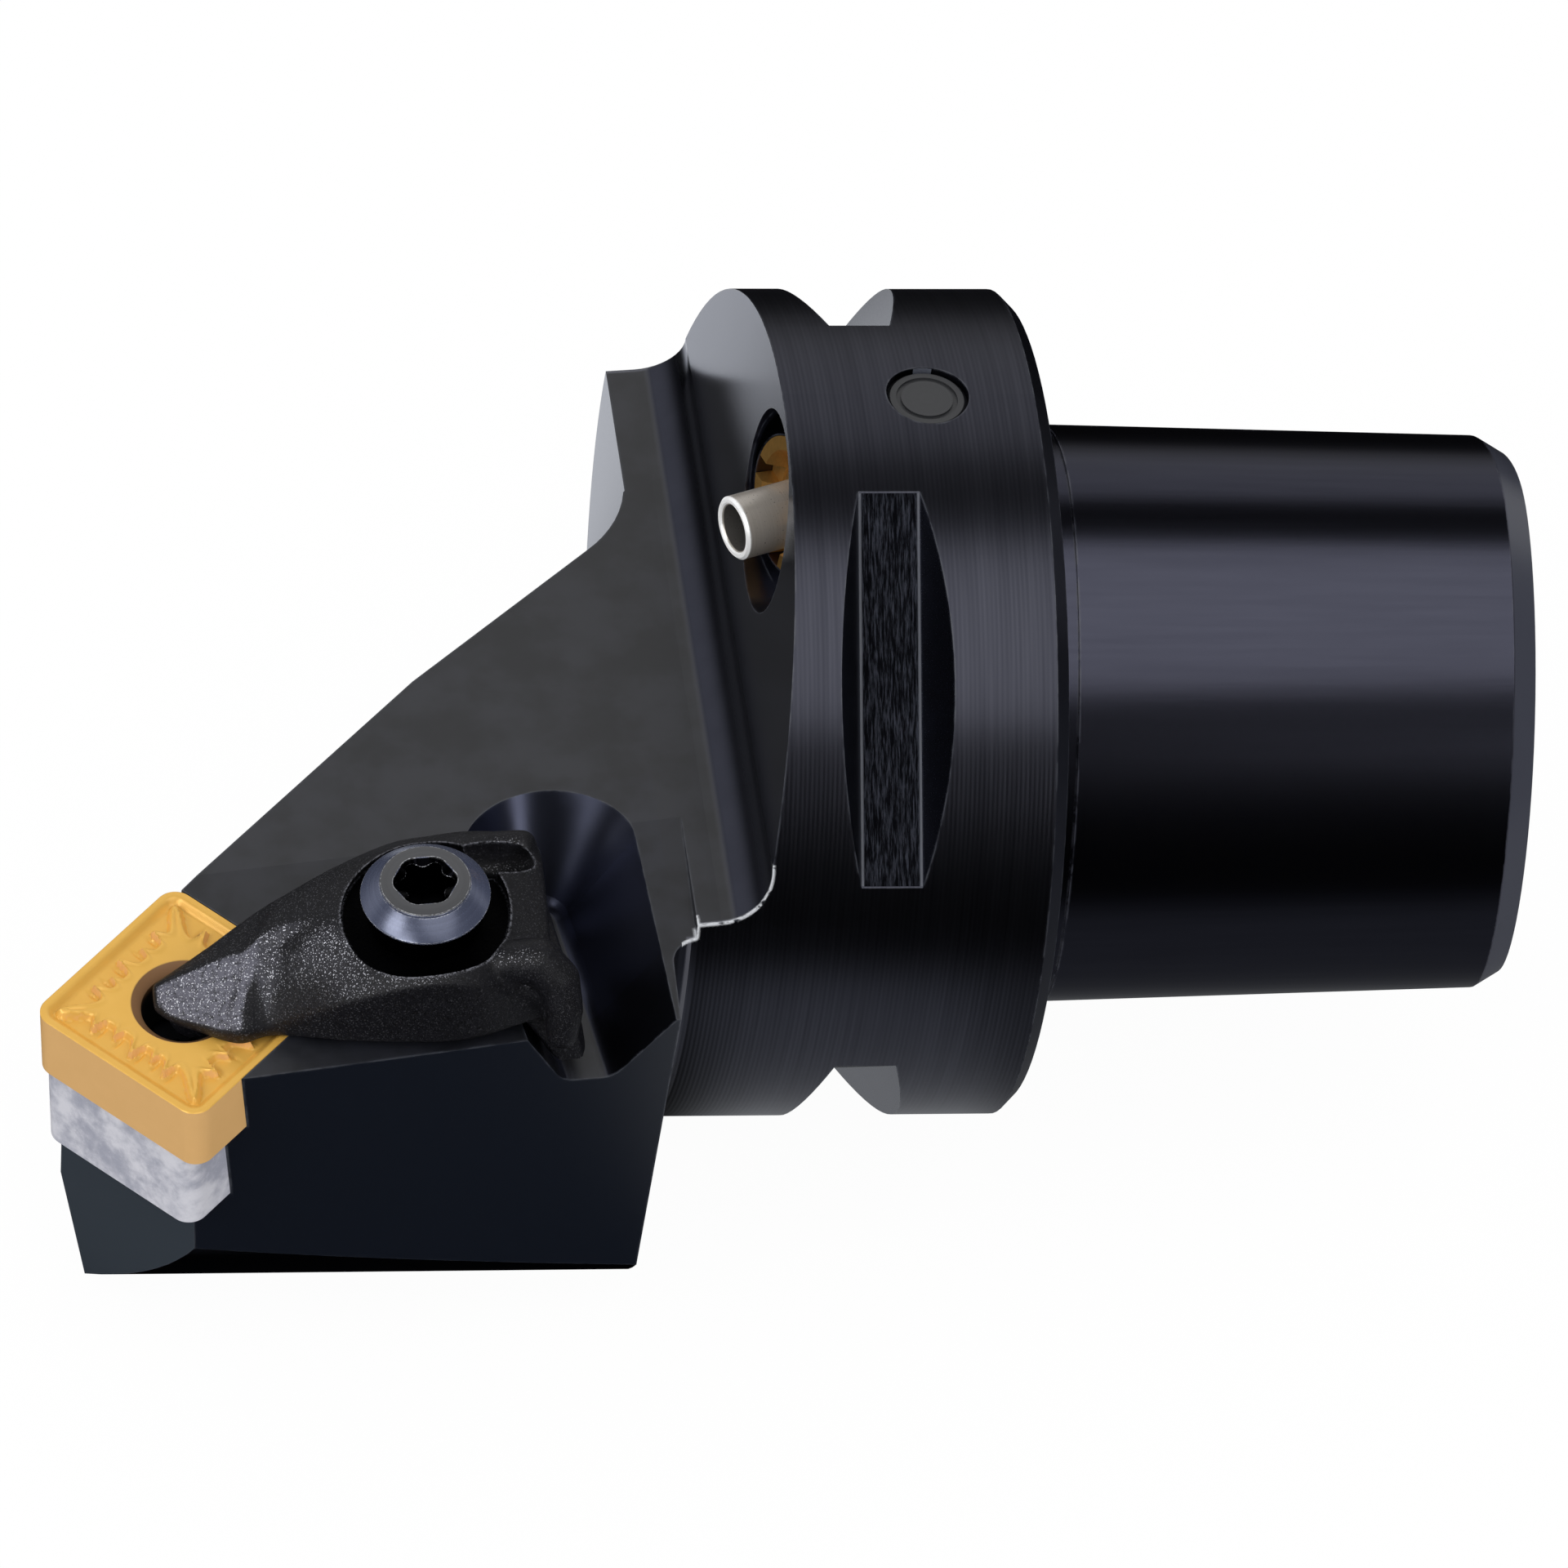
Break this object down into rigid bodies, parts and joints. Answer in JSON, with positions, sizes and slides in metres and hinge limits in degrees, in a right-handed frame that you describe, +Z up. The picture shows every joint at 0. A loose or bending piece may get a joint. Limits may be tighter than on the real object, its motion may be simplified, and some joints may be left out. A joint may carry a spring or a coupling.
{
  "type": "turning tool holder",
  "caption": "Cutting head on a polygon taper shank with flange, holding a square indexable insert on a shim under a screwed finger clamp, with a swivelling coolant nozzle.",
  "frame": {"origin": "on the tool axis in the gauge plane, which is the flange face that seats on the machine", "axes": "+X runs into the shank, -Y points to the cutting side, +Z is up from the rake face"},
  "size_m": [0.0903, 0.0598, 0.0507],
  "materials": {
    "black_steel": "black oxide, satin",
    "gold_carbide": "coated carbide, satin",
    "grey_carbide": "ground carbide, mottled",
    "screw_steel": "blackened, polished cone",
    "forged_steel": "blasted forging",
    "spring_steel": "drawn wire",
    "bright_steel": "bright turned",
    "nozzle_brass": "machined",
    "seal_rubber": "matt",
    "plug_steel": "satin"
  },
  "bodies": {
    "holder": {"holder_body": "black_steel", "insert": "gold_carbide", "shim": "grey_carbide", "shim_screw": "screw_steel", "clamp_spring": "spring_steel", "nozzle_seal": "seal_rubber", "channel_plug": "plug_steel"},
    "clamp": {"clamp": "forged_steel"},
    "clamp_screw": {"clamp_screw": "screw_steel"},
    "nozzle": {"nozzle_ball": "nozzle_brass", "nozzle_tube": "bright_steel"},
    "nozzle_ring": {"nozzle_ring": "nozzle_brass"}
  },
  "joints": [
    {"name": "clamp_lift", "type": "slide", "parent": "holder", "child": "clamp", "axis": [-0.0984, -0.0984, 0.9903], "range_m": [0, 0.0024], "deforming": ["clamp_spring"]},
    {"name": "clamp_screw_turn", "type": "hinge", "parent": "clamp", "child": "clamp_screw", "pos_m": [-0.03869, -0.02739, 0.01159], "axis": [-0.0984, -0.0984, 0.9903], "range_deg": [0, 1080]},
    {"name": "nozzle_tilt", "type": "hinge", "parent": "holder", "child": "nozzle", "pos_m": [-0.01173, -0.00033, 0.01688], "axis": [0.3113, -0.7571, 0.5744], "range_deg": [-22, 5]},
    {"name": "nozzle_ring_turn", "type": "hinge", "parent": "holder", "child": "nozzle_ring", "pos_m": [-0.01505, -0.00135, 0.01734], "axis": [-0.9478, -0.2909, 0.1304], "range_deg": [0, 90]}
  ],
  "couplings": [
    {"joint": "clamp_screw_turn", "follows": "clamp_lift", "rad_per_m": 7854}
  ]
}
